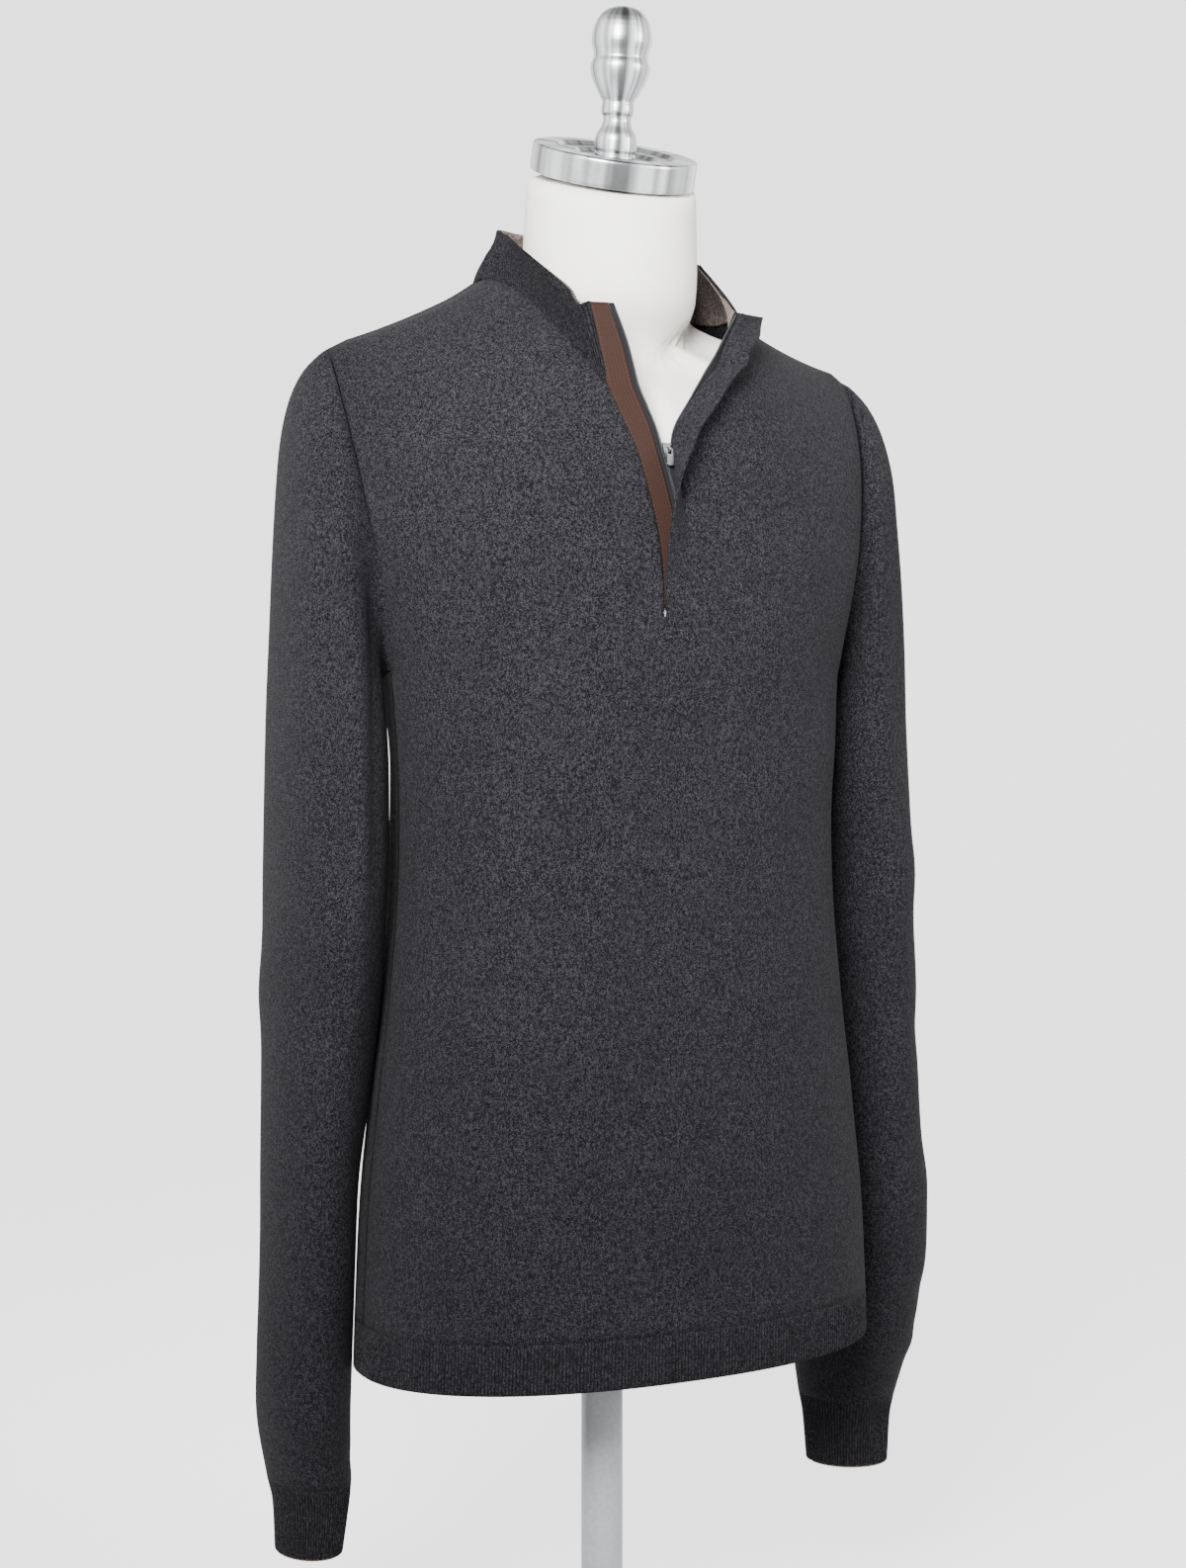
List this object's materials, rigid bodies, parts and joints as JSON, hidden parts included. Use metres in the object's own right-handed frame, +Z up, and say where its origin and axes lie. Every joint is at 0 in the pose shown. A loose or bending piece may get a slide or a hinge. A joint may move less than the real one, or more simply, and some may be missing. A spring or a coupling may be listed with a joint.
{
  "type": "quarter zip sweater on a dress form",
  "caption": "Dark fine-knit half-zip pullover with an open ribbed stand collar and long sleeves, worn by a limbless dress form on a short stand.",
  "frame": {"origin": "centre of the underside of the stand's round base", "axes": "+Z up; the front of the sweater faces -Y; the wearer's left arm is on the +X side"},
  "size_m": [0.4818, 0.3, 1.1209],
  "materials": {
    "charcoal_knit": "fine melange jersey, dark charcoal",
    "charcoal_rib": "fine rib knit, dark charcoal",
    "brown_rib": "fine rib knit, grey brown",
    "brown_ribbon": "ribbed ribbon, dull brown",
    "zip_tape": "woven tape with a dark coil",
    "bare_metal": "turned, brushed",
    "zip_metal": "bright plated",
    "linen": "smooth ivory cotton over padding",
    "stand_metal": "satin grey"
  },
  "bodies": {
    "sweater_and_form": {"front_panel": "charcoal_knit", "back_panel": "charcoal_knit", "hem_rib": "charcoal_rib", "sleeve_right": "charcoal_knit", "cuff_right": "charcoal_rib", "sleeve_left": "charcoal_knit", "cuff_left": "charcoal_rib", "collar": "charcoal_rib", "collar_lining": "brown_rib", "ribbon": "brown_ribbon", "zip_right": "zip_tape", "zip_left": "zip_tape", "fly": "charcoal_knit", "slider": "zip_metal", "slider_bridge": "zip_metal", "form_torso": "linen", "neck_cap": "bare_metal", "finial": "bare_metal", "stand_base": "stand_metal", "pole": "stand_metal"},
    "pull_tab": {"pull_tab": "zip_metal"}
  },
  "joints": [
    {"name": "pull_tab_hinge", "type": "hinge", "parent": "sweater_and_form", "child": "pull_tab", "pos_m": [-0.00094, -0.11601, 0.81878], "axis": [-1, 0, 0], "range_deg": [0, 150]}
  ]
}
